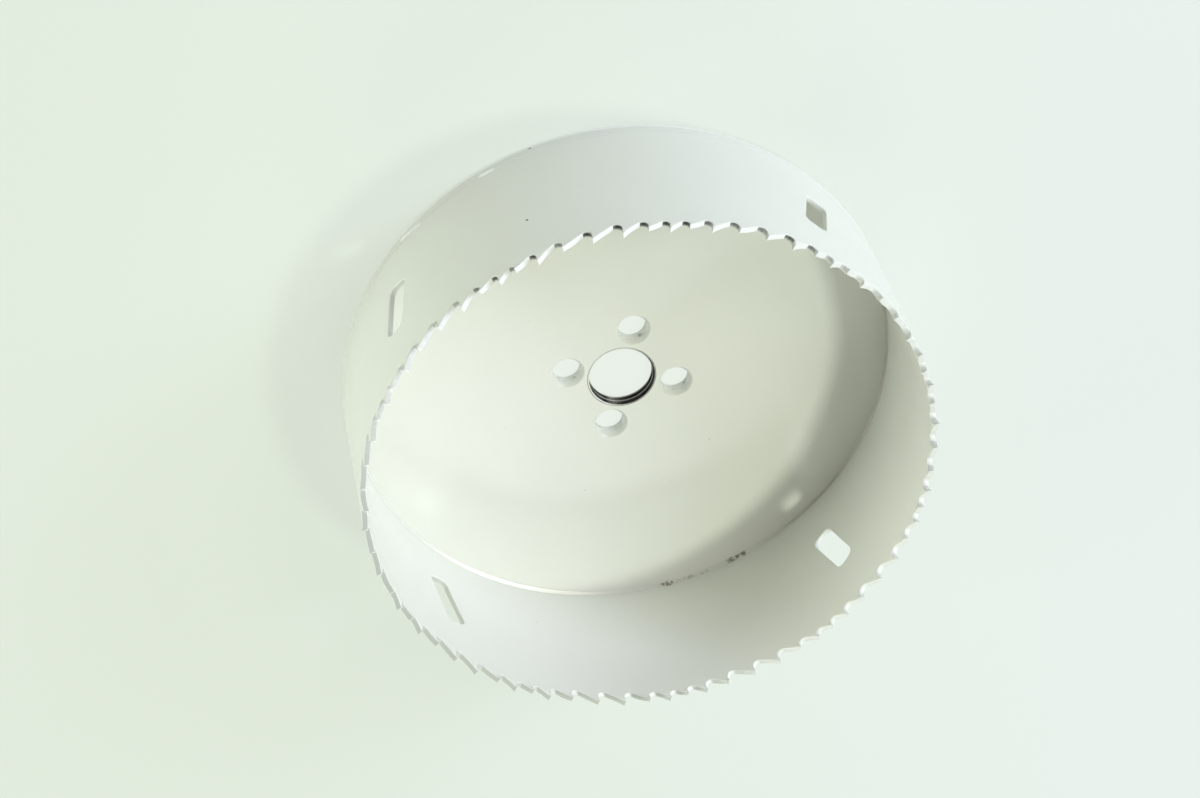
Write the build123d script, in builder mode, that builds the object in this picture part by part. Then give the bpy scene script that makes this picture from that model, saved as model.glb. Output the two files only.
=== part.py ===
from build123d import *
import math
import os

# Hole saw for a 127 mm hole: a toothed steel strip rolled into a ring and welded to the
# rim of a flat end cap. The saw stands on its cap, teeth up. The axis is Z, and z = 0 is
# the outer face of the cap. Seen from the open end the saw cuts counter-clockwise, so
# each tooth's rake face looks that way.

# ---- driving dimensions, mm and degrees ----
cut_dia = 127.0            # diameter over the outward-set teeth
tooth_set = 0.40           # lean of a set tooth at its tip, out of or into the wall
wall = 1.3                 # strip thickness
height = 43.2              # cap face to tooth tips
cap_thickness = 3.5
cap_corner = 0.8           # bevel of the cap's outer back corner

bore_r = 7.25              # 5/8-18 thread, minor radius, left plain here
pin_circle_dia = 25.4      # circle of the arbor's drive pins
pin_count = 4
pin_r = 3.3
pin_angle = 28.2           # first pin hole from +X

slot_count = 4             # slots for levering out a plug
slot_width = 5.4
slot_length = 14.0
slot_corner = 1.7
slot_lean = 17.0           # top of each slot leans towards the cut
slot_z = 21.8
slot_pitch = 93.3          # punched at one pitch along the strip, so the ends differ

seam_angle = 315.2         # butt joint of the strip, midway between two slots
pitches = [6.45, 6.40, 5.85, 4.95, 4.15, 4.55, 5.45]   # one group, a 4/6 pitch
leans = [0, 1, -1, 1, -1, 1, -1]                       # raker, then out and in
rake = 8.0
back_angle = 30.0          # slope of a tooth's back
gullet_r = 1.0
tip_land = 0.12
set_depth = 1.5            # a tooth bends this far below its tip
dressing = 0.02            # the toothed edge is dressed this much thinner, on the inside

bead = 1.1                 # leg of the weld run inside the corner
bead_clear = 0.02

# ---- derived sizes ----
outer_r = cut_dia / 2 - tooth_set
inner_r = outer_r - wall
mid_r = outer_r - wall / 2
bend_z = height - set_depth
web = pin_circle_dia / 2 - bore_r - pin_r      # metal between the bore and a pin hole
bore_chamfer = 0.26 * web                      # at both ends of the bore
pin_mouth = 0.30 * web                         # dished mouth on the inner face
mean_pitch = sum(pitches) / len(pitches)
tooth_count = round(2 * math.pi * mid_r / mean_pitch)

# Tips are stepped off from the seam, and the last one closes the ring.
steps = [pitches[i % len(pitches)] for i in range(tooth_count)]
degrees_per_mm = 360 / sum(steps)
tips = [seam_angle]
for step in steps:
    tips.append(tips[-1] + step * degrees_per_mm)


def wall_plane(angle, z):
    """Plane square to the wall: x runs counter-clockwise along it, y is up."""
    a = math.radians(angle)
    return Plane(
        origin=(mid_r * math.cos(a), mid_r * math.sin(a), z),
        x_dir=(-math.sin(a), math.cos(a), 0),
        z_dir=(math.cos(a), math.sin(a), 0),
    )


def section_plane(angle):
    """Plane through the axis: x is the radius, y is up."""
    a = math.radians(angle)
    return Plane(
        origin=(0, 0, 0),
        x_dir=(math.cos(a), math.sin(a), 0),
        z_dir=(math.sin(a), -math.cos(a), 0),
    )


# ---- saw_band: the rolled strip with its teeth, gullets and slots ----
with BuildPart() as saw_band:
    with BuildSketch(section_plane(seam_angle + 0.4 * degrees_per_mm)):
        with Locations((mid_r, (cap_thickness + bend_z) / 2)):
            Rectangle(wall, bend_z - cap_thickness)
    revolve(axis=Axis.Z)

    # Tooth blanks above the bend line: short leaning lengths of the wall, one behind
    # each tip, with a gap between neighbours.
    gap = 0.7 * degrees_per_mm
    for member, pitch in enumerate(pitches):
        ends = [tips[i + 1] for i in range(member, tooth_count, len(pitches))]
        arc = pitch * degrees_per_mm - gap
        lean = leans[member] * tooth_set
        with BuildSketch(*[section_plane(end - arc) for end in ends]):
            with BuildLine():
                Polyline(
                    (inner_r + dressing, bend_z),
                    (outer_r, bend_z),
                    (outer_r + lean, height),
                    (inner_r + dressing + lean, height),
                    close=True,
                )
            make_face()
        revolve(axis=Axis.Z, revolution_arc=arc + 0.1 * degrees_per_mm)

    # Gullets: rake face, round bottom and the straight back of the next tooth.
    rise = 1.0
    for member, pitch in enumerate(pitches):
        starts = [tips[i] for i in range(member, tooth_count, len(pitches))]
        reach = mid_r * math.sin(math.radians(pitch * degrees_per_mm))
        slope = math.tan(math.radians(back_angle))
        r = math.radians(rake)
        leg = reach * slope / (math.cos(r) - math.sin(r) * slope)
        root = (-leg * math.sin(r), -leg * math.cos(r))
        with BuildSketch(*[wall_plane(start, height) for start in starts]):
            with BuildLine():
                FilletPolyline((0, 0), root, (reach - tip_land, 0), radius=gullet_r)
                Polyline((reach - tip_land, 0), (reach - tip_land, rise), (0, rise), (0, 0))
            make_face()
        extrude(amount=wall / 2 + tooth_set + 0.6, both=True, mode=Mode.SUBTRACT)

    # Slots through the wall.
    slot_angles = [
        seam_angle + 180 + (i - (slot_count - 1) / 2) * slot_pitch for i in range(slot_count)
    ]
    with BuildSketch(*[wall_plane(angle, slot_z) for angle in slot_angles]):
        RectangleRounded(slot_width, slot_length, slot_corner, rotation=-slot_lean)
    extrude(amount=2 * wall, both=True, mode=Mode.SUBTRACT)
saw_band.part.label = "saw_band"

# ---- end_cap: flat steel disc, bored for the arbor and its drive pins ----
with BuildPart() as end_cap:
    Cylinder(outer_r, cap_thickness, align=(Align.CENTER, Align.CENTER, Align.MIN))
    chamfer(end_cap.edges().group_by(Axis.Z)[0], cap_corner)

    with BuildSketch(Plane.XY):
        Circle(bore_r)
        with PolarLocations(pin_circle_dia / 2, pin_count, start_angle=pin_angle):
            Circle(pin_r)
    extrude(amount=cap_thickness, mode=Mode.SUBTRACT)

    inner_rims = end_cap.edges().filter_by(GeomType.CIRCLE).group_by(Axis.Z)[-1]
    back_rims = end_cap.edges().filter_by(GeomType.CIRCLE).group_by(Axis.Z)[0]
    bore_rims = [e for e in inner_rims + back_rims if abs(e.radius - bore_r) < 0.01]
    mouth_rims = [e for e in inner_rims if abs(e.radius - pin_r) < 0.01]
    chamfer(bore_rims, bore_chamfer)
    chamfer(mouth_rims, pin_mouth)
end_cap.part.label = "end_cap"

# ---- cap_weld: the run of weld in the corner between the wall and the cap ----
bead_r = inner_r - bead_clear
with BuildPart() as cap_weld:
    with BuildSketch(Plane.XZ):
        with BuildLine():
            Polyline(
                (bead_r - bead, cap_thickness),
                (bead_r, cap_thickness),
                (bead_r, cap_thickness + bead),
                close=True,
            )
        make_face()
    revolve(axis=Axis.Z)
cap_weld.part.label = "cap_weld"

os.makedirs("parts", exist_ok=True)
export_step(saw_band.part, "parts/saw_band.step")
export_step(end_cap.part, "parts/end_cap.step")
export_step(cap_weld.part, "parts/cap_weld.step")
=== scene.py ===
import math
import random
from collections import namedtuple

import bmesh
import bpy
from mathutils import Matrix, Vector
from mathutils.noise import noise


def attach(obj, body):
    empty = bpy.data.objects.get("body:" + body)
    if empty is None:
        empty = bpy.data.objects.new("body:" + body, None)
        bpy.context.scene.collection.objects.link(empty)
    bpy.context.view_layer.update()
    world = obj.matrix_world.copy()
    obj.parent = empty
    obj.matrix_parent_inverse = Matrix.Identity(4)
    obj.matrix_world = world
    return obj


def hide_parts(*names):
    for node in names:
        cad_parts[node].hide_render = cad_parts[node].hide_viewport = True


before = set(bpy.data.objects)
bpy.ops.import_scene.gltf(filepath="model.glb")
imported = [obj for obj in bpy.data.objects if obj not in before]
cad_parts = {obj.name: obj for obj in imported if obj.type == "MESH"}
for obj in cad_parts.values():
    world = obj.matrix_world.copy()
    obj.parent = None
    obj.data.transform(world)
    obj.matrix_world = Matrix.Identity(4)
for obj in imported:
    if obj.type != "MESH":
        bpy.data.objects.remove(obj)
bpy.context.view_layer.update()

# A painted hole saw standing on its end cap, teeth up. Blender works in metres, and every
# shape below is written in millimetres and scaled by MM. Angles are in degrees, taken
# counter-clockwise from +X as seen from the open end.
MM = 0.001

# ---- sizes: the saw's own, as its solids have them ----
OUTER_R = 63.1
WALL = 1.3
INNER_R = OUTER_R - WALL
MID_R = OUTER_R - WALL / 2
MM_PER_DEGREE = MID_R * math.pi / 180
HEIGHT = 43.2
CAP_T = 3.5
BORE_R = 7.25              # minor radius of the arbor thread
BORE_MOUTH = 0.56
PIN_RING_R = 12.7
PIN_R = 3.3
PIN_MOUTH = 0.645
PIN_ANGLE = 28.2
PIN_COUNT = 4
SEAM_ANGLE = 315.2
BEND_Z = 41.7              # the set teeth bend from here up
TOOTH_SET = 0.40
PITCHES = (6.45, 6.40, 5.85, 4.95, 4.15, 4.55, 5.45)
LEANS = (0, 1, -1, 1, -1, 1, -1)
RAKE = 8.0
TIP_LAND = 0.12
SLOT_COUNT = 4
SLOT_WIDTH = 5.4
SLOT_LENGTH = 14.0
SLOT_CORNER = 1.7
SLOT_LEAN = 17.0
SLOT_Z = 21.8
SLOT_PITCH = 93.3

# ---- where the shown saw follows the photograph and its solids do not ----
TOOTH_COUNT = 74           # the solids have 73, so their teeth drift from these round the ring
BACK_ANGLE = 33.0          # 30 in the solids
GULLET_R = (1.0, 1.35)     # at the finest and the coarsest pitch; 1.0 throughout in the solids
CAP_CORNER = 1.0           # a round; the solids have a bevel of 0.8
THREAD_R = 7.94            # major radius of the arbor thread, 5/8 in; the solid's bore is plain
THREAD_PITCH = 25.4 / 18

# ---- what paint, rolling and welding add to the solids ----
SKIN = 0.012               # the shown skin lies this far inside the solids' outer wall
WAVE = 0.025               # waviness of the rolled strip
EDGE_R = 0.13              # round that the paint leaves on an edge
TIP_EDGE_R = 0.05
FOOT_R = 0.03              # the joint with the cap is filled with paint
SLOT_EDGE_R = 0.20
HALF_ROUND = 0.293         # 1 - cos 45: how far a round's middle point lies from its corner
# Weld dabs on the outside of the back corner: degrees, z, degrees wide, mm tall, mm high.
DABS = ((247.7, 3.0, 0.75, 0.50, 0.20), (265.9, 3.3, 0.9, 0.55, 0.18), (268.4, 2.8, 0.8, 0.50, 0.16))
# Painted highlights along the same dabs, as streaks: first and last degrees, z there.
DAB_HIGHLIGHT_STREAKS = ((246.5, 248.9, 3.1, 2.9), (264.7, 269.5, 3.6, 2.5))
# Places where the weld run is heavier: degrees, degrees wide, mm more leg. The solid's run has an
# even leg of 1.1.
WELD_LUMPS = ((14.0, 19.0, 0.28), (50.6, 1.3, 0.42), (65.8, 1.5, 0.40), (68.6, 0.7, 0.30))

# ---- painted light and shade on the cut edges, over a thin coat of paint on grey steel ----
# First the way that white cut faces turn to, a painted light; then the side where slots and gullets are grey,
# painted shade over thin paint; the side where that grey is lighter, painted light; and the side where the
# gullets are dark, painted shade.
PAINTED_LIGHT_FROM = Vector((0.21, 0.77, 0.60))
SHADED_THIN_COAT_SIDE = Vector((-0.09, -1.0, 0.0))     # where slots and gullets got a thin coat
LIGHTER_THIN_COAT_SIDE = Vector((-0.64, 0.77, 0.0))       # where that thin coat is thicker
GULLET_SHADE_SIDE = Vector((-0.74, -0.67, 0.0))       # where the gullets are dark


# ---- camera: the photograph's viewing angle, with the axis leaning towards the viewer ----
CAMERA_AT = Vector((-0.21867, -0.30656, 0.53435))
CAMERA_RIGHT = Vector((-0.62983, 0.75810, 0.16909))
CAMERA_UP = Vector((-0.69537, -0.45334, -0.55762))
CAMERA_BACK = Vector((-0.34608, -0.46879, 0.81269))


def add_camera():
    data = bpy.data.cameras.new("camera")
    data.sensor_width = 36.0
    data.lens = 86.35
    data.clip_start = 0.01
    data.clip_end = 20.0
    obj = bpy.data.objects.new("camera", data)
    turn = Matrix((CAMERA_RIGHT, CAMERA_UP, CAMERA_BACK)).transposed().to_4x4()
    obj.matrix_world = Matrix.Translation(CAMERA_AT) @ turn
    bpy.context.scene.collection.objects.link(obj)
    bpy.context.scene.camera = obj
    bpy.context.scene.view_settings.view_transform = "Standard"


# ---- node helpers ----
class Nodes:
    """Small wrapper that adds nodes to one tree and links them."""

    def __init__(self, tree):
        self.tree = tree
        tree.nodes.clear()

    def add(self, kind, inputs=None, **settings):
        node = self.tree.nodes.new(kind)
        for key, value in settings.items():
            setattr(node, key, value)
        for key, value in (inputs or {}).items():
            if isinstance(value, bpy.types.NodeSocket):
                self.tree.links.new(value, node.inputs[key])
            else:
                node.inputs[key].default_value = value
        return node

    def math(self, operation, a, b=0.0):
        return self.add("ShaderNodeMath", {0: a, 1: b}, operation=operation).outputs[0]

    def vector(self, operation, a, b=(0, 0, 0)):
        return self.add("ShaderNodeVectorMath", {0: a, 1: b}, operation=operation).outputs

    def ramp(self, value, low, high, out_low=0.0, out_high=1.0):
        inputs = {"Value": value, "From Min": low, "From Max": high, "To Min": out_low, "To Max": out_high}
        return self.add("ShaderNodeMapRange", inputs, interpolation_type="SMOOTHSTEP").outputs["Result"]

    def mix(self, factor, a, b):
        node = self.add("ShaderNodeMix", data_type="RGBA")
        for index, value in ((0, factor), (6, a), (7, b)):
            if isinstance(value, bpy.types.NodeSocket):
                self.tree.links.new(value, node.inputs[index])
            else:
                node.inputs[index].default_value = value
        return node.outputs[2]

    def noise(self, coords, scale, detail=2.0):
        inputs = {"Vector": coords, "Scale": scale, "Detail": detail, "Roughness": 0.5}
        return self.add("ShaderNodeTexNoise", inputs).outputs["Fac"]

    def place(self):
        """Object coordinates, in metres."""
        return self.add("ShaderNodeTexCoord").outputs["Object"]

    def along(self, coords, direction):
        return self.vector("DOT_PRODUCT", coords, direction)["Value"]

    def height(self, coords):
        return self.add("ShaderNodeSeparateXYZ", {"Vector": coords}).outputs["Z"]

    def radius(self, coords):
        """Distance from the saw's axis."""
        flat = self.vector("MULTIPLY", coords, Vector((1, 1, 0)))["Vector"]
        return self.vector("LENGTH", flat)["Value"]

    def spot(self, coords, centre, size, core):
        """1 within size x core of a place given in mm, fading to 0 at its size."""
        gap = self.vector("DISTANCE", coords, Vector(centre) * MM)["Value"]
        return self.ramp(gap, size * MM, core * size * MM)

    def surface(self, colour, roughness, relief, strength, depth, metallic=0.0):
        """Principled surface with bump, and the tree's output."""
        bump = self.add("ShaderNodeBump", {"Height": relief, "Strength": strength, "Distance": depth * MM})
        shader = self.add("ShaderNodeBsdfPrincipled", {
            "Base Color": colour, "Roughness": roughness, "IOR": 1.5, "Metallic": metallic,
            "Normal": bump.outputs["Normal"]})
        self.add("ShaderNodeOutputMaterial", {"Surface": shader.outputs["BSDF"]})


def material(name):
    mat = bpy.data.materials.new(name)
    mat.use_nodes = True
    return mat, Nodes(mat.node_tree)


def rgb(r, g, b):
    return (r, g, b, 1.0)


# ---- materials ----
ENAMEL_TONES = ((0.744, 0.757, 0.684), (0.760, 0.772, 0.702))
# Whiter tone for one side of the cap's back corner: painted light.
RIM_PAINTED_LIGHT = (0.93, 0.94, 0.90)
WORN_TIP = (0.52, 0.54, 0.50)
SPECK_TONE = (0.72, 0.74, 0.66)
# Specks: cells per metre, size as a share of a cell, share of empty cells, and tint.
SPECKS = ((170.0, 0.034, 0.86, 0.55), (310.0, 0.05, 0.90, 0.80))
# Cut edges: white where they face the painted light, greys for painted shade over thin paint.
CUT_WHITE = (0.82, 0.83, 0.79)
NEAR_THIN = (0.68, 0.70, 0.65)
NEAR_BARE = (0.60, 0.61, 0.56)
# Painted shade for the gullets on the far side.
GULLET_PAINTED_SHADE = (0.075, 0.078, 0.068)


def specked(n, at, colour):
    """Dust and pinholes: a few dark and a few light specks, each well under a millimetre."""
    for scale, size, rarity, tint in SPECKS:
        cells = n.add("ShaderNodeTexVoronoi", {"Vector": at, "Scale": scale})
        near = n.ramp(cells.outputs["Distance"], size, size * 0.45)
        chance = n.add("ShaderNodeSeparateColor", {"Color": cells.outputs["Color"]}).outputs[0]
        some = n.math("GREATER_THAN", chance, rarity)
        colour = n.mix(n.math("MULTIPLY", near, some), colour, rgb(*(tint * value for value in SPECK_TONE)))
    return colour


def seam_line(n, at):
    """Faint ridge along the strip's butt joint."""
    turned = n.add("ShaderNodeMapping", {"Vector": at, "Rotation": (0, 0, -math.radians(SEAM_ANGLE))})
    split = n.add("ShaderNodeSeparateXYZ", {"Vector": turned.outputs["Vector"]})
    across = n.math("ABSOLUTE", split.outputs["Y"])
    this_side = n.math("GREATER_THAN", split.outputs["X"], 0.0)
    return n.math("MULTIPLY", n.ramp(across, 0.7 * MM, 0.1 * MM), this_side)


def enamel(name, marks=(), stains=(), seam=False, tips=False, rim=False, tone=1.0):
    """Cream-white sprayed enamel with a faint mottle, orange peel and dust. Marks are plain small
    spots and stains are broken ones, each a place in mm, a size and a colour."""
    mat, n = material(name)
    at = n.place()
    low, high = (rgb(*(tone * value for value in shade)) for shade in ENAMEL_TONES)
    colour = n.mix(n.ramp(n.noise(at, 22.0, 3.0), 0.35, 0.65), low, high)
    colour = specked(n, at, colour)
    for centre, size, shade in marks:
        colour = n.mix(n.spot(at, centre, size, 0.4), colour, rgb(*shade))
    for centre, size, shade in stains:
        broken = n.ramp(n.noise(at, 1300.0, 3.0), 0.44, 0.60)
        colour = n.mix(n.math("MULTIPLY", n.spot(at, centre, size, 0.45), broken), colour, rgb(*shade))
    if rim:
        # Painted light: one side of the cap's back corner is whiter, standing in for light on the rim.
        low_down = n.ramp(n.height(at), 1.6 * MM, 0.8 * MM)
        far_out = n.ramp(n.radius(at), INNER_R * MM, 62.4 * MM)
        one_side = n.ramp(n.along(at, Vector((0, 1, 0))), -10 * MM, -30 * MM)
        rim_light = n.math("MULTIPLY", n.math("MULTIPLY", low_down, far_out), one_side)
        colour = n.mix(rim_light, colour, rgb(*RIM_PAINTED_LIGHT))
    if tips:
        # Paint is thinner over the tooth tips, and the steel greys it.
        top = n.ramp(n.height(at), (HEIGHT - 0.5) * MM, HEIGHT * MM)
        worn = n.math("MULTIPLY", top, n.ramp(n.noise(at, 700.0), 0.4, 0.6))
        colour = n.mix(n.math("MULTIPLY", worn, 0.5), colour, rgb(*WORN_TIP))
    peel = n.math("MULTIPLY", n.noise(at, 750.0, 1.0), 0.35)
    ripple = n.math("MULTIPLY", n.noise(at, 120.0, 1.0), 1.2)
    relief = n.math("ADD", peel, ripple)
    if seam:
        relief = n.math("ADD", relief, n.math("MULTIPLY", seam_line(n, at), 2.5))
    rough = n.ramp(n.noise(at, 60.0, 3.0), 0.3, 0.7, 0.19, 0.25)
    n.surface(colour, rough, relief, 0.35, 0.02)
    return mat


def pin_hole_painted_light(name):
    """Brighter coat in the pin holes, painted light that stands in for light through them, with grey patches
    deeper in the hole.
    """
    mat, n = material(name)
    at = n.place()
    grit = n.ramp(n.noise(at, 620.0, 3.0), 0.54, 0.66)
    low_down = n.ramp(n.height(at), 2.9 * MM, 1.6 * MM)
    colour = n.mix(n.math("MULTIPLY", grit, low_down), rgb(0.90, 0.91, 0.89), rgb(0.42, 0.44, 0.41))
    n.surface(colour, n.ramp(grit, 0.0, 1.0, 0.16, 0.26), n.noise(at, 900.0), 0.5, 0.03)
    return mat


def cut_edge(name, grey, hidden=False):
    """Punched and milled edges of the strip: a thin coat of paint over grey steel, with painted light and
    shade by the way each face turns. Faces turned towards one direction are white and the ones turned away
    are grey. Hidden places, the slots and the gullets' floors, are painted grey on one side of the saw
    whatever they face, lighter towards another side."""
    mat, n = material(name)
    at = n.place()
    # Painted light and shade: white or grey by which way the face turns.
    facing = n.along(n.add("ShaderNodeTexCoord").outputs["Normal"], PAINTED_LIGHT_FROM)
    drift = n.math("MULTIPLY", n.math("SUBTRACT", n.noise(at, 900.0), 0.5), 0.20)
    coat_and_light = n.math("ADD", facing, drift)
    # Painted light: the grey is lighter towards one side of the saw.
    near = n.ramp(n.along(at, LIGHTER_THIN_COAT_SIDE), 20 * MM, 50 * MM)
    thin = n.mix(near, rgb(*grey), rgb(*NEAR_THIN))
    bare = n.mix(near, rgb(*(0.82 * value for value in grey)), rgb(*NEAR_BARE))
    colour = n.mix(n.ramp(coat_and_light, -0.30, 0.12), bare, thin)
    colour = n.mix(n.ramp(coat_and_light, 0.16, 0.51), colour, rgb(*CUT_WHITE))
    if hidden:
        colour = n.mix(n.ramp(n.along(at, SHADED_THIN_COAT_SIDE), -36 * MM, -14 * MM), colour, thin)
        # Painted shade: dark in the outer part of the gullets on the far side.
        patchy = n.ramp(n.noise(at, 260.0), 0.36, 0.50, 0.55, 1.0)
        far = n.math("MULTIPLY", n.ramp(n.along(at, GULLET_SHADE_SIDE), 42 * MM, 57 * MM), patchy)
        outside = n.ramp(n.radius(at), 61.9 * MM, 62.4 * MM)
        in_gullet = n.math("GREATER_THAN", n.height(at), 35 * MM)
        grime_and_shade = n.math("MULTIPLY", far, n.math("MULTIPLY", outside, in_gullet))
        colour = n.mix(grime_and_shade, colour, rgb(*GULLET_PAINTED_SHADE))
    n.surface(colour, n.ramp(coat_and_light, 0.0, 0.5, 0.42, 0.30), n.noise(at, 1500.0), 0.3, 0.02)
    return mat


def bare_steel(name):
    """Dark, slightly oily cut steel, for the arbor thread. Its crests are lighter."""
    mat, n = material(name)
    at = n.place()
    grime_and_shade = n.ramp(n.noise(at, 420.0, 4.0), 0.35, 0.7)
    colour = n.mix(grime_and_shade, rgb(0.060, 0.060, 0.055), rgb(0.018, 0.017, 0.015))
    crest = n.ramp(n.radius(at), (BORE_R + 0.16) * MM, (BORE_R + 0.03) * MM)
    colour = n.mix(crest, colour, rgb(0.34, 0.34, 0.32))
    n.surface(colour, n.ramp(grime_and_shade, 0.0, 1.0, 0.32, 0.62), n.noise(at, 2600.0, 3.0), 0.4, 0.02, metallic=0.85)
    return mat


# ---- mesh helpers ----
def on_ring(radius, degrees, z):
    a = math.radians(degrees)
    return Vector((radius * math.cos(a), radius * math.sin(a), z)) * MM


def turn_from(degrees, origin):
    """Signed angle from origin to degrees, within half a turn."""
    return (degrees - origin + 180) % 360 - 180


def ring(bm, count, radius, z, centre=(0.0, 0.0)):
    """A ring of vertices. The radius may be a number or a function of the angle in degrees."""
    verts = []
    for i in range(count):
        degrees = 360.0 * i / count
        r = radius(degrees) if callable(radius) else radius
        a = math.radians(degrees)
        verts.append(bm.verts.new(Vector((centre[0] + r * math.cos(a), centre[1] + r * math.sin(a), z)) * MM))
    return verts


def quads(bm, lower, upper, flip=False, material_index=0):
    """Quads between two rings of equal count. The material may be a function of the place."""
    for i in range(len(lower)):
        k = (i + 1) % len(lower)
        corners = (lower[i], lower[k], upper[k], upper[i])
        face = bm.faces.new(corners[::-1] if flip else corners)
        face.smooth = True
        face.material_index = material_index(i) if callable(material_index) else material_index


def zipper(bm, a, angles_a, b, angles_b, flip):
    """Triangles between two closed rings whose vertices are sorted by angle, ring a outside."""
    shift = min(range(len(b)), key=lambda j: abs(turn_from(angles_b[j], angles_a[0])))
    b = b[shift:] + b[:shift]
    turned = [angles_b[(shift + j) % len(b)] for j in range(len(b))]
    base = angles_a[0]
    lap_a = [(x - base) % 360 for x in angles_a] + [360.0]
    first = turn_from(turned[0], base)
    lap_b = [first + (x - turned[0]) % 360 for x in turned] + [first + 360.0]
    i = j = 0
    while i < len(a) or j < len(b):
        if j == len(b) or (i < len(a) and lap_a[i + 1] <= lap_b[j + 1]):
            corners = (a[i], a[(i + 1) % len(a)], b[j % len(b)])
            i += 1
        else:
            corners = (a[i % len(a)], b[(j + 1) % len(b)], b[j])
            j += 1
        face = bm.faces.new(corners[::-1] if flip else corners)
        face.smooth = True


def fill(bm, rings, up):
    """Flat face with holes between rings that lie in one plane."""
    edges = []
    for verts in rings:
        for i, v in enumerate(verts):
            edges.append(bm.edges.get((v, verts[(i + 1) % len(verts)])))
    made = bmesh.ops.triangle_fill(bm, edges=edges, use_beauty=True, normal=(0, 0, 1 if up else -1))
    for item in made["geom"]:
        if isinstance(item, bmesh.types.BMFace):
            item.smooth = False


def piece(name, bm, replaced, *materials):
    """A shown piece that stands in for one node of the solids."""
    bmesh.ops.recalc_face_normals(bm, faces=bm.faces)
    bm.normal_update()
    mesh = bpy.data.meshes.new(name)
    bm.to_mesh(mesh)
    bm.free()
    for mat in materials:
        mesh.materials.append(mat)
    obj = bpy.data.objects.new(name, mesh)
    bpy.context.scene.collection.objects.link(obj)
    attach(obj, "root")
    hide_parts(replaced)
    return obj


# ---- the rolled strip ----
SIDE_ROWS = 20             # rows of the wall grid below the teeth
COLUMNS = 360              # one column of the wall grid for each degree
TOOTH_ROWS = 6
GRID_TOP = HEIGHT - 3.9    # just under the deepest gullet
TOOTH_FOOT = GRID_TOP + 0.35
BASE_SHIFT = 1.1           # degrees that a tooth's columns lean back at their foot
RAKE_STEPS = (0.0, 0.08, 0.3, 0.55, 0.8)
GULLET_STEPS = 9
BACK_STEPS = (0.2, 0.4, 0.6, 0.8, 0.93, 1.0)
FLOOR_OF_GULLET = (6, 11)  # which of a tooth space's points lie on the gullet's floor
# Shares of a tooth space that its rake face, gullet and back take at the foot of their columns.
RAKE_SHARE = 0.25
GULLET_SHARE = 0.20
BACK_SHARE = 0.52
WINDOW_HALF = 7            # columns each side of a slot's middle column
WINDOW_ROWS = (5, 16)
CORNER_STEPS = 10          # points round a slot's corner, and along its ends and sides
END_STEPS = 5
LONG_STEPS = 14
ENAMEL, EDGE, HIDDEN = 0, 1, 2     # the strip's materials

# One point of the toothed edge. Its columns start at foot, and lean is its tooth's set.
EdgePoint = namedtuple("EdgePoint", "degrees z round lean foot")

random.seed(7)
step_mm = [PITCHES[i % len(PITCHES)] for i in range(TOOTH_COUNT)]
degrees_per_mm = 360.0 / sum(step_mm)
tips = [SEAM_ANGLE]
for step in step_mm:
    tips.append(tips[-1] + step * degrees_per_mm)
lean_of = [LEANS[i % len(LEANS)] * TOOTH_SET * random.uniform(0.86, 1.0) for i in range(TOOTH_COUNT)]

grid_z = [CAP_T + FOOT_R] + [CAP_T + (GRID_TOP - CAP_T) * k / SIDE_ROWS for k in range(1, SIDE_ROWS + 1)]
slot_angles = [SEAM_ANGLE + 180 + (i - (SLOT_COUNT - 1) / 2) * SLOT_PITCH for i in range(SLOT_COUNT)]
slot_columns = [round(a) % COLUMNS for a in slot_angles]


def dab(degrees, z):
    """Height of the weld dabs on the outside of the back corner, painted over."""
    total = 0.0
    for at, middle, wide, tall, high in DABS:
        total += high * math.exp(-(turn_from(degrees, at) / wide) ** 2 - ((z - middle) / tall) ** 2)
    return total


def rolled(degrees, z, depth, lean=0.0):
    """Point of the strip: angle, height, depth below the outer face, and lean of its tooth."""
    a = math.radians(degrees)
    bend = max(z - BEND_Z, 0.0) / (HEIGHT - BEND_Z)
    wave = WAVE * noise(Vector((2.2 * math.cos(a), 2.2 * math.sin(a), z / 60.0)))
    wave *= min(1.0, (z - CAP_T) / 6.0) * (1 - bend)
    r = OUTER_R - SKIN - depth + lean * bend ** 1.2 + wave
    if depth < 0.5:
        r += dab(degrees, z)
    return Vector((r * math.cos(a), r * math.sin(a), z)) * MM


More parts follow.
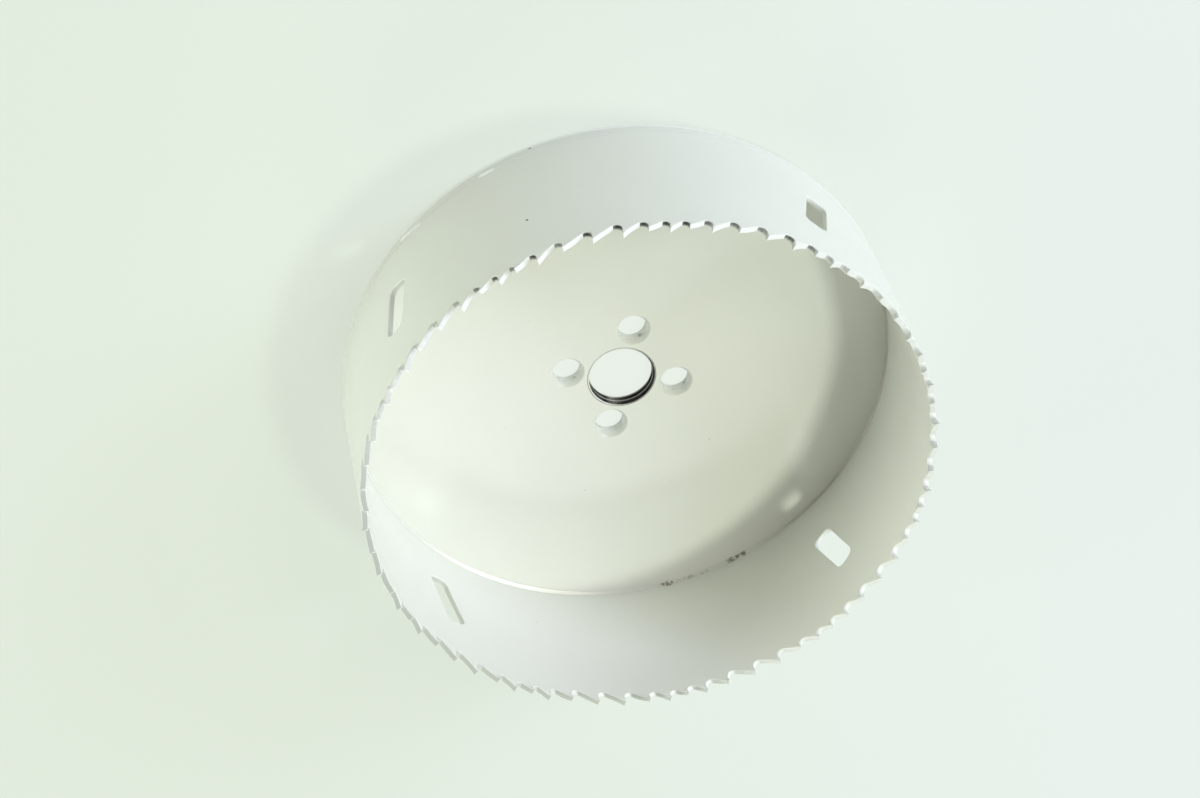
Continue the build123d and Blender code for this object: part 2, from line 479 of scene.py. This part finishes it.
def tooth_space(index):
    """Edge of one tooth space, from a tip's corner down its rake face, round the gullet and up
    the next tooth's back."""
    reach = MID_R * math.sin(math.radians(step_mm[index] * degrees_per_mm))
    slope, r = math.tan(math.radians(BACK_ANGLE)), math.radians(RAKE)
    coarse = (step_mm[index] - min(PITCHES)) / (max(PITCHES) - min(PITCHES))
    gullet = GULLET_R[0] + (GULLET_R[1] - GULLET_R[0]) * coarse
    leg = reach * slope / (math.cos(r) - math.sin(r) * slope)
    root = Vector((-leg * math.sin(r), -leg * math.cos(r)))
    back_end = Vector((reach - TIP_LAND, 0.0))
    up_rake, up_back = (-root).normalized(), (back_end - root).normalized()
    half = 0.5 * up_rake.angle(up_back)
    run_in = gullet / math.tan(half)
    first, last = root + up_rake * run_in, root + up_back * run_in
    centre = root + (up_rake + up_back).normalized() * (gullet / math.sin(half))
    before, after = lean_of[index - 1], lean_of[index]

    def point(at, edge_round, lean, share):
        """share is the way from this tip's columns to the next tip's, at their foot."""
        degrees = tips[index] + math.degrees(math.asin(at.x / MID_R))
        foot = tips[index] + share * step_mm[index] * degrees_per_mm - BASE_SHIFT
        return EdgePoint(degrees, HEIGHT + at.y, edge_round, lean, foot)

    points = []
    for t in RAKE_STEPS:
        at = Vector((0, 0)).lerp(first, t)
        points.append(point(at, EDGE_R if t else TIP_EDGE_R, before, RAKE_SHARE * t))
    a0 = math.atan2(first.y - centre.y, first.x - centre.x)
    a1 = math.atan2(last.y - centre.y, last.x - centre.x)
    if a1 < a0:
        a1 += 2 * math.pi
    for k in range(GULLET_STEPS):
        t = k / (GULLET_STEPS - 1)
        a = a0 + (a1 - a0) * t
        at = centre + Vector((math.cos(a), math.sin(a))) * gullet
        points.append(point(at, EDGE_R, before if t < 0.5 else after, RAKE_SHARE + GULLET_SHARE * t))
    for t in BACK_STEPS:
        share = RAKE_SHARE + GULLET_SHARE + BACK_SHARE * t
        points.append(point(last.lerp(back_end, t), TIP_EDGE_R if t == 1 else EDGE_R, after, share))
    return points


def inward_normals(edge):
    """For each point of the toothed edge, the way into the metal, as degrees-wise and up in mm."""
    ways = []
    for j, point in enumerate(edge):
        before, after = edge[j - 1], edge[(j + 1) % len(edge)]
        come = point.degrees - before.degrees + (360.0 if j == 0 else 0.0)
        go = after.degrees - point.degrees + (360.0 if j == len(edge) - 1 else 0.0)
        d1 = Vector((come * MM_PER_DEGREE, point.z - before.z)).normalized()
        d2 = Vector((go * MM_PER_DEGREE, after.z - point.z)).normalized()
        n1, n2 = Vector((d1.y, -d1.x)), Vector((d2.y, -d2.x))
        both = (n1 + n2).normalized()
        ways.append(both / max(both.dot(n2), 0.5))
    return ways


edge = [point for i in range(TOOTH_COUNT) for point in tooth_space(i)]
inward = inward_normals(edge)
POINTS_A_SPACE = len(edge) // TOOTH_COUNT


def slot_outline(offset):
    """Points of one slot's outline, counter-clockwise from the right side, grown by offset."""
    w, h, r = SLOT_WIDTH / 2 - SLOT_CORNER, SLOT_LENGTH / 2 - SLOT_CORNER, SLOT_CORNER + offset
    corners = (
        (w, h, 0, END_STEPS),
        (-w, h, 90, LONG_STEPS),
        (-w, -h, 180, END_STEPS),
        (w, -h, 270, LONG_STEPS),
    )
    points = []
    for cx, cy, turn, straight in corners:
        corner = []
        for k in range(CORNER_STEPS + 1):
            a = math.radians(turn + 90 * k / CORNER_STEPS)
            corner.append((cx + r * math.cos(a), cy + r * math.sin(a)))
        points += corner
        # The straight side that follows, up to the next corner.
        x, y = corner[-1]
        end_x, end_y = {0: (-w, y), 90: (x, -h), 180: (w, y), 270: (x, h)}[turn]
        for k in range(1, straight):
            t = k / straight
            points.append((x + (end_x - x) * t, y + (end_y - y) * t))
    c, s = math.cos(math.radians(-SLOT_LEAN)), math.sin(math.radians(-SLOT_LEAN))
    return [(x * c - y * s, x * s + y * c) for x, y in points]


def on_slot(bm, number, x, y, depth):
    """Vertex of the strip at a place given from a slot's middle, in mm along the wall and up."""
    return bm.verts.new(rolled(slot_angles[number] + math.degrees(math.asin(x / MID_R)), SLOT_Z + y, depth))


def columns_across(column, middle):
    return (column - middle + COLUMNS // 2) % COLUMNS - COLUMNS // 2


def vertex_in_window(column, row):
    return any(abs(columns_across(column, middle)) < WINDOW_HALF and WINDOW_ROWS[0] < row < WINDOW_ROWS[1]
               for middle in slot_columns)


def cell_in_window(column, row):
    return any(-WINDOW_HALF <= columns_across(column, middle) < WINDOW_HALF
               and WINDOW_ROWS[0] <= row < WINDOW_ROWS[1] for middle in slot_columns)


def wall_grid(bm, depth, flip):
    """Grid of one face of the strip, with a window left open round each slot."""
    grid = [[None if vertex_in_window(c, k) else bm.verts.new(rolled(c, z, depth)) for c in range(COLUMNS)]
            for k, z in enumerate(grid_z)]
    for k in range(SIDE_ROWS):
        for c in range(COLUMNS):
            if cell_in_window(c, k):
                continue
            d = (c + 1) % COLUMNS
            corners = (grid[k][c], grid[k][d], grid[k + 1][d], grid[k + 1][c])
            bm.faces.new(corners[::-1] if flip else corners).smooth = True
    return grid


def tooth_face(bm, top_of_grid, depth, flip):
    """One face of the teeth: columns from the grid up to the toothed edge, leaning with each tooth."""
    below = [bm.verts.new(rolled(point.foot, TOOTH_FOOT, depth)) for point in edge]
    zipper(bm, top_of_grid, list(range(COLUMNS)), below, [point.foot % 360 for point in edge], not flip)
    for k in range(1, TOOTH_ROWS + 1):
        t = k / TOOTH_ROWS
        row = []
        for point, way in zip(edge, inward):
            end_degrees = point.degrees + way.x * point.round / MM_PER_DEGREE
            end_z = point.z + way.y * point.round
            degrees = point.foot + (end_degrees - point.foot) * t
            row.append(bm.verts.new(rolled(degrees, TOOTH_FOOT * (1 - t) + end_z * t, depth, point.lean)))
        quads(bm, below, row, flip)
        below = row
    return below


def slot_face(bm, grid, number, depth, flip):
    """Rings of vertices from a slot's rim out to the edge of its window, on one face of the strip."""
    angle, middle = slot_angles[number], slot_columns[number]
    offset_x = turn_from(middle, angle) * MM_PER_DEGREE
    half_w = WINDOW_HALF * MM_PER_DEGREE - 0.55
    z_low, z_high = grid_z[WINDOW_ROWS[0]] + 0.6, grid_z[WINDOW_ROWS[1]] - 0.6
    near = slot_outline(SLOT_EDGE_R + 0.5)
    far = []
    for x, y in near:
        reach_x = (offset_x + math.copysign(half_w, x)) / x if abs(x) > 1e-6 else 1e9
        reach_y = ((z_high if y > 0 else z_low) - SLOT_Z) / y if abs(y) > 1e-6 else 1e9
        scale = min(reach_x, reach_y)
        far.append((x * scale, y * scale))
    outlines = [slot_outline(SLOT_EDGE_R), slot_outline(SLOT_EDGE_R + 0.2), near]
    outlines += [[(p[0] + (q[0] - p[0]) * t, p[1] + (q[1] - p[1]) * t) for p, q in zip(near, far)]
                 for t in (0.33, 0.66, 1.0)]
    made = [[on_slot(bm, number, x, y, depth) for x, y in points] for points in outlines]
    for inner, outer in zip(made, made[1:]):
        quads(bm, inner, outer, not flip)

    left, right = (middle - WINDOW_HALF) % COLUMNS, (middle + WINDOW_HALF) % COLUMNS
    low, high = WINDOW_ROWS
    border = [grid[k][right] for k in range(low, high)]
    border += [grid[high][(right - c) % COLUMNS] for c in range(2 * WINDOW_HALF)]
    border += [grid[k][left] for k in range(high, low, -1)]
    border += [grid[low][(left + c) % COLUMNS] for c in range(2 * WINDOW_HALF)]

    def polar(vert):
        """Direction of a vertex from the slot's middle, in degrees."""
        x = turn_from(math.degrees(math.atan2(vert.co.y, vert.co.x)), angle) * MM_PER_DEGREE
        return math.degrees(math.atan2(vert.co.z / MM - SLOT_Z, x)) % 360

    zipper(bm, border, [polar(v) for v in border], made[-1], [polar(v) for v in made[-1]], flip)
    return made[0]


def toothed_band():
    """The strip as one closed skin: outer face, inner face, and the rounds that join them."""
    bm = bmesh.new()
    edge_rings, foot_rings, slot_rims = [], [], []
    for depth, flip in ((0.0, False), (WALL, True)):
        grid = wall_grid(bm, depth, flip)
        edge_rings.append(tooth_face(bm, grid[SIDE_ROWS], depth, flip))
        foot_rings.append(grid[0])
        slot_rims.append([slot_face(bm, grid, number, depth, flip) for number in range(SLOT_COUNT)])

    # Over the toothed edge. The flat between the two rounds is a cut edge.
    across = []
    for share, outside in ((HALF_ROUND, True), (0.0, True), (0.0, False), (HALF_ROUND, False)):
        row = []
        for point, way in zip(edge, inward):
            back = (HALF_ROUND if share else 1.0) * point.round
            degrees = point.degrees + way.x * point.round * share / MM_PER_DEGREE
            z = point.z + way.y * point.round * share
            row.append(bm.verts.new(rolled(degrees, z, back if outside else WALL - back, point.lean)))
        across.append(row)

    def flat_material(i):
        low, high = FLOOR_OF_GULLET
        return HIDDEN if low <= i % POINTS_A_SPACE <= high else EDGE

    chain = [edge_rings[0]] + across + [edge_rings[1]]
    for k, (a, b) in enumerate(zip(chain, chain[1:])):
        quads(bm, a, b, False, flat_material if k == 2 else ENAMEL)

    # Under the foot.
    chain = [foot_rings[0]]
    for d, z in ((HALF_ROUND * FOOT_R, CAP_T + HALF_ROUND * FOOT_R), (FOOT_R, CAP_T),
                 (WALL - FOOT_R, CAP_T), (WALL - HALF_ROUND * FOOT_R, CAP_T + HALF_ROUND * FOOT_R)):
        chain.append([bm.verts.new(rolled(c, z, d)) for c in range(COLUMNS)])
    chain.append(foot_rings[1])
    for a, b in zip(chain, chain[1:]):
        quads(bm, a, b, True)

    # Through the slots.
    near, full = HALF_ROUND * SLOT_EDGE_R, SLOT_EDGE_R
    for number in range(SLOT_COUNT):
        chain = [slot_rims[0][number]]
        for grow, d in ((near, near), (0.0, full), (0.0, WALL - full), (near, WALL - near)):
            chain.append([on_slot(bm, number, x, y, d) for x, y in slot_outline(grow)])
        chain.append(slot_rims[1][number])
        for k, (a, b) in enumerate(zip(chain, chain[1:])):
            quads(bm, a, b, True, HIDDEN if k == 2 else ENAMEL)
    return bm


def dab_highlights():
    """Painted highlights on the weld dabs: near-white overlapping spots along each streak."""
    marks = []
    for first, last, low, high in DAB_HIGHLIGHT_STREAKS:
        for k in range(8):
            t = k / 7
            place = on_ring(OUTER_R + 0.1, first + (last - first) * t, low + (high - low) * t) / MM
            marks.append((place, 0.8, (0.93, 0.94, 0.91)))
    return marks


def add_band():
    # The band's marks: painted highlights on the weld dabs, and a dark chip.
    chip = (on_ring(OUTER_R, 242.55, 27.9) / MM, 0.42, (0.10, 0.10, 0.08))
    band = piece("toothed_band", toothed_band(), "saw_band",
                 enamel("enamel_band", dab_highlights() + [chip], seam=True, tips=True),
                 cut_edge("enamel_edge", (0.50, 0.52, 0.47)),
                 cut_edge("enamel_hidden", (0.55, 0.57, 0.52), True))
    band.modifiers.new("even_shading", "WEIGHTED_NORMAL").keep_sharp = True


# ---- end cap: painted disc with rounded rims and the arbor thread ----
BORE_STEPS = 192
PIN_STEPS = 72
RIM_STEPS = 720
ROUND_STEPS = 5
THREAD_STEPS = 84
THREAD_END = 0.24          # the thread's rows start and end this far inside the cap's faces
PAINTED_DEPTH = 0.42       # paint reaches this far down the bore
LIP = 0.16
PAINT, STEEL, PIN_LIGHT = 0, 1, 2     # the cap's materials


def rounded(start, end, bulge):
    """Profile points (r, z) of a quarter round between two tangent points; bulge is the corner."""
    points = []
    for i in range(ROUND_STEPS + 1):
        t = i / ROUND_STEPS
        u = 1 - t
        points.append(tuple(u * u * a + 2 * u * t * c + t * t * b for a, b, c in zip(start, end, bulge)))
    return points


def thread_radius(degrees, z):
    """Right-hand internal thread with flat crests and roots, run out at both chamfers. Its flanks
    meet at about 76 degrees, where the standard has 60."""
    phase = (z / THREAD_PITCH - degrees / 360.0) % 1.0
    ridge = abs(phase - 0.5) * 2.0
    cut = min(max((ridge - 0.12) / 0.76, 0.0), 1.0)
    top = BORE_R + BORE_MOUTH - (CAP_T - z)
    bottom = BORE_R + BORE_MOUTH - z
    return max(BORE_R + (THREAD_R - BORE_R) * cut, top, bottom)


def bore(bm):
    """The threaded bore. It returns its rings on the cap's inner and outer faces."""
    mouth_r = BORE_R + BORE_MOUTH
    lip = [(mouth_r + LIP, CAP_T)]
    lip += rounded((mouth_r + LIP, CAP_T), (mouth_r - 0.1, CAP_T - 0.13), (mouth_r + 0.02, CAP_T))[1:]
    rows = []
    for i, (r, z) in enumerate(lip):
        # Two rows along the chamfer's edge take the dark steel and draw a thin dark line.
        rows.append((ring(bm, BORE_STEPS, r, z), STEEL if i in (2, 3) else PAINT))
    top = CAP_T - THREAD_END
    for i in range(THREAD_STEPS + 1):
        z = top + (THREAD_END - top) * i / THREAD_STEPS
        verts = ring(bm, BORE_STEPS, lambda degrees, z=z: thread_radius(degrees, z), z)
        rows.append((verts, PAINT if z > CAP_T - PAINTED_DEPTH else STEEL))
    for r, z in reversed(lip):
        rows.append((ring(bm, BORE_STEPS, r, CAP_T - z), STEEL))
    for (upper, _), (lower, index) in zip(rows, rows[1:]):
        quads(bm, lower, upper, material_index=index)
    return rows[0][0], rows[-1][0]


def pin_hole(bm, number):
    """A drive-pin hole with a dished mouth on the inner face. It returns its first and last rings."""
    mouth_r = PIN_R + PIN_MOUTH
    profile = [(mouth_r + 0.07, CAP_T)]
    profile += rounded((mouth_r + 0.07, CAP_T), (mouth_r - 0.06, CAP_T - 0.06), (mouth_r, CAP_T))[1:]
    wall_starts = len(profile) + 3
    profile += rounded((PIN_R + 0.12, CAP_T - 0.53), (PIN_R, CAP_T - 0.78), (PIN_R, CAP_T - 0.65))
    profile += [(PIN_R, 1.6), (PIN_R, 0.2), (PIN_R + 0.06, 0.06), (PIN_R + 0.2, 0.0)]
    a = math.radians(PIN_ANGLE + 360.0 * number / PIN_COUNT)
    centre = (PIN_RING_R * math.cos(a), PIN_RING_R * math.sin(a))
    rows = [ring(bm, PIN_STEPS, r, z, centre) for r, z in profile]
    for i, (upper, lower) in enumerate(zip(rows, rows[1:])):
        quads(bm, lower, upper, material_index=PIN_LIGHT if i >= wall_starts else PAINT)
    return rows[0], rows[-1]


def cap_rim(bm):
    """The cap's outer rim and its rounded back corner. It returns its first and last rings."""
    r = OUTER_R - SKIN
    profile = [(r, z) for z in (CAP_T, 3.2, 2.9, 2.6, 2.3, 1.9, 1.5, CAP_CORNER)]
    profile += rounded((r, CAP_CORNER), (r - CAP_CORNER, 0.0), (r, 0.0))[1:]
    rows = [ring(bm, RIM_STEPS, lambda degrees, r=r, z=z: r + dab(degrees, z), z) for r, z in profile]
    for upper, lower in zip(rows, rows[1:]):
        quads(bm, upper, lower)
    return rows[0], rows[-1]


def add_cap():
    bm = bmesh.new()
    outlines = [bore(bm)] + [pin_hole(bm, number) for number in range(PIN_COUNT)] + [cap_rim(bm)]
    fill(bm, [first for first, _ in outlines], True)
    fill(bm, [last for _, last in outlines], False)
    # The cap's marks: painted highlights on the weld dabs, and a few small specks.
    marks = dab_highlights() + [
        ((29.0, 13.0, CAP_T), 0.35, (0.62, 0.62, 0.52)),
        ((2.0, 28.4, CAP_T), 0.30, (0.55, 0.56, 0.48)),
        (on_ring(OUTER_R, 238.1, 1.2) / MM, 0.55, (0.07, 0.07, 0.06)),
    ]
    # The pin holes' enamel is brighter: painted light.
    piece("end_cap_threaded", bm, "end_cap", enamel("enamel_cap", marks, rim=True),
          bare_steel("thread_steel"), pin_hole_painted_light("enamel_pins_lit"))


# ---- weld run in the corner, uneven and sprayed over ----
WELD_STEPS = 900
WELD_SECTION = 7
CORNER_R = INNER_R - 0.02
WELD_PULL = 0.42           # how far the run's face is drawn into the corner, as a share of its leg
# Brown grit, and smoother stretches of painted light: a creamier one, a painted reflection, and a darker one,
# a painted shade. Degrees, size, colour.
WELD_GRIT = ((49.4, 0.40), (51.3, 0.45), (65.3, 0.50), (68.6, 0.70))
WELD_PAINTED_LIGHT = ((16.0, 30.0, (0.84, 0.84, 0.72)), (118.0, 55.0, (0.54, 0.52, 0.45)))
WELD_STAINS = (
    (50.6, 2.6, (0.30, 0.28, 0.22)),
    (56.5, 5.0, (0.50, 0.48, 0.41)),
    (66.6, 3.2, (0.22, 0.21, 0.17)),
)


def weld_leg(degrees, side):
    """Leg of the run at one place: slow drift, ripples, and heavier lumps where it was topped up."""
    a = math.radians(degrees)
    slow = noise(Vector((9 * math.cos(a), 9 * math.sin(a), side)))
    ripple = noise(Vector((62 * math.cos(a), 62 * math.sin(a), 4.0 + side)))
    leg = 0.50 + 0.12 * slow + 0.10 * ripple
    for at, width, extra in WELD_LUMPS:
        leg += extra * math.exp(-(turn_from(degrees, at) / width) ** 2)
    return min(leg, 1.08)


def weld_section(bm, degrees):
    """Closed section of the run: a drawn-in face from the cap to the wall, and the corner."""
    on_cap, on_wall = weld_leg(degrees, 0.0), weld_leg(degrees, 7.0)
    corner = (CORNER_R - on_cap * WELD_PULL, CAP_T + on_wall * WELD_PULL)
    verts = []
    for k in range(WELD_SECTION + 1):
        t = k / WELD_SECTION
        u = 1 - t
        r = u * u * (CORNER_R - on_cap) + 2 * u * t * corner[0] + t * t * CORNER_R
        z = u * u * CAP_T + 2 * u * t * corner[1] + t * t * (CAP_T + on_wall)
        verts.append(bm.verts.new(on_ring(r, degrees, z)))
    verts.append(bm.verts.new(on_ring(CORNER_R, degrees, CAP_T)))
    return verts


def add_weld():
    bm = bmesh.new()
    sections = [weld_section(bm, 360.0 * i / WELD_STEPS) for i in range(WELD_STEPS)]
    for i, a in enumerate(sections):
        b = sections[(i + 1) % WELD_STEPS]
        for k in range(len(a)):
            m = (k + 1) % len(a)
            face = bm.faces.new((a[k], a[m], b[m], b[k]))
            face.smooth = k < WELD_SECTION

    def on_run(degrees):
        return on_ring(INNER_R - 0.35, degrees, CAP_T + 0.3) / MM

    marks = [(on_run(a), size, (0.24, 0.23, 0.19)) for a, size in WELD_GRIT]
    # Painted light on the run: a creamy painted reflection and a darker painted shade.
    marks += [(on_run(a), size, shade) for a, size, shade in WELD_PAINTED_LIGHT]
    stains = [(on_run(a), size, shade) for a, size, shade in WELD_STAINS]
    # The run's enamel is a little darker all round: painted shade that dims its highlight.
    piece("weld_run", bm, "cap_weld", enamel("enamel_weld", marks, stains, tone=0.94))


# ---- floor, light and background ----
PALE_SHARE = 0.72          # how much of the paper is a plain pale tone where it is seen
HOLE_SHARE = 0.94          # the same under the cap, where only the holes show it


def floor_paper():
    mat, n = material("floor_paper")
    at = n.place()
    tone = n.mix(n.ramp(n.noise(at, 3.0), 0.3, 0.7), rgb(0.710, 0.760, 0.700), rgb(0.725, 0.772, 0.716))
    shader = n.add("ShaderNodeBsdfPrincipled",
                   {"Base Color": tone, "Roughness": 0.9, "Specular IOR Level": 0.1})
    # Seen directly or in a reflection, most of the paper is a plain pale tone, lighter and cooler towards one
    # side: a painted light falloff.
    # The rest keeps the shadow. What shows through the cap's holes is as bright as the open paper: painted
    # light lifts the cap's shadow there.
    across = n.along(at, Vector((-0.64, 0.77, 0.0)))
    paper_light_falloff = n.mix(n.ramp(across, -0.13, 0.16), rgb(0.765, 0.835, 0.715), rgb(0.815, 0.885, 0.845))
    under = n.ramp(n.radius(at), 30 * MM, 20 * MM)
    pale = n.add("ShaderNodeEmission", {"Color": n.mix(under, paper_light_falloff, rgb(0.83, 0.89, 0.82)), "Strength": 1.0})
    rays = n.add("ShaderNodeLightPath").outputs
    seen = n.math("MAXIMUM", rays["Is Camera Ray"], rays["Is Glossy Ray"])
    seen = n.math("MAXIMUM", seen, rays["Is Transmission Ray"])
    share = n.math("MULTIPLY", seen, n.ramp(under, 0.0, 1.0, PALE_SHARE, HOLE_SHARE))
    both = n.add("ShaderNodeMixShader", {0: share, 1: shader.outputs["BSDF"], 2: pale.outputs["Emission"]})
    n.add("ShaderNodeOutputMaterial", {"Surface": both.outputs["Shader"]})
    return mat


def add_floor():
    bm = bmesh.new()
    bmesh.ops.create_grid(bm, x_segments=2, y_segments=2, size=4.0)
    mesh = bpy.data.meshes.new("floor")
    bm.to_mesh(mesh)
    bm.free()
    mesh.materials.append(floor_paper())
    floor = bpy.data.objects.new("floor", mesh)
    bpy.context.scene.collection.objects.link(floor)


LIGHT_DISTANCE = 2.0       # m from the saw's centre
# Each softbox: name, azimuth, elevation, diameter in m, watts, colour.
SOFTBOXES = (
    ("key", 117.0, 69.9, 0.26, 12.8, (0.92, 1.0, 0.87)),
    ("side", 164.0, 25.0, 0.9, 27.6, (0.72, 0.762, 1.0)),
    ("high", 178.0, 50.0, 1.0, 10.5, (0.98, 0.97, 0.88)),
    ("left", 317.0, 10.0, 1.2, 29.5, (0.96, 1.0, 0.94)),
    ("back", 45.0, 40.0, 1.0, 9.0, (0.95, 1.0, 1.0)),
)


def add_softbox(name, azimuth, elevation, size, watts, colour):
    """Round area light that looks at the saw's centre from a direction."""
    light = bpy.data.lights.new(name, "AREA")
    light.shape = "DISK"
    light.size = size
    light.energy = watts
    light.color = colour
    obj = bpy.data.objects.new(name, light)
    a, e = math.radians(azimuth), math.radians(elevation)
    way = Vector((math.cos(e) * math.cos(a), math.cos(e) * math.sin(a), math.sin(e)))
    centre = Vector((0, 0, 20 * MM))
    look = way.to_track_quat("Z", "Y").to_matrix().to_4x4()
    obj.matrix_world = Matrix.Translation(centre + way * LIGHT_DISTANCE) @ look
    obj.visible_camera = False
    bpy.context.scene.collection.objects.link(obj)


def add_world():
    world = bpy.data.worlds.new("studio")
    bpy.context.scene.world = world
    world.use_nodes = True
    n = Nodes(world.node_tree)
    air = n.add("ShaderNodeBackground", {"Color": rgb(0.98, 0.98, 0.91), "Strength": 0.203})
    n.add("ShaderNodeOutputWorld", {"Surface": air.outputs["Background"]})


add_camera()
add_band()
add_cap()
add_weld()
add_floor()
for softbox in SOFTBOXES:
    add_softbox(*softbox)
add_world()
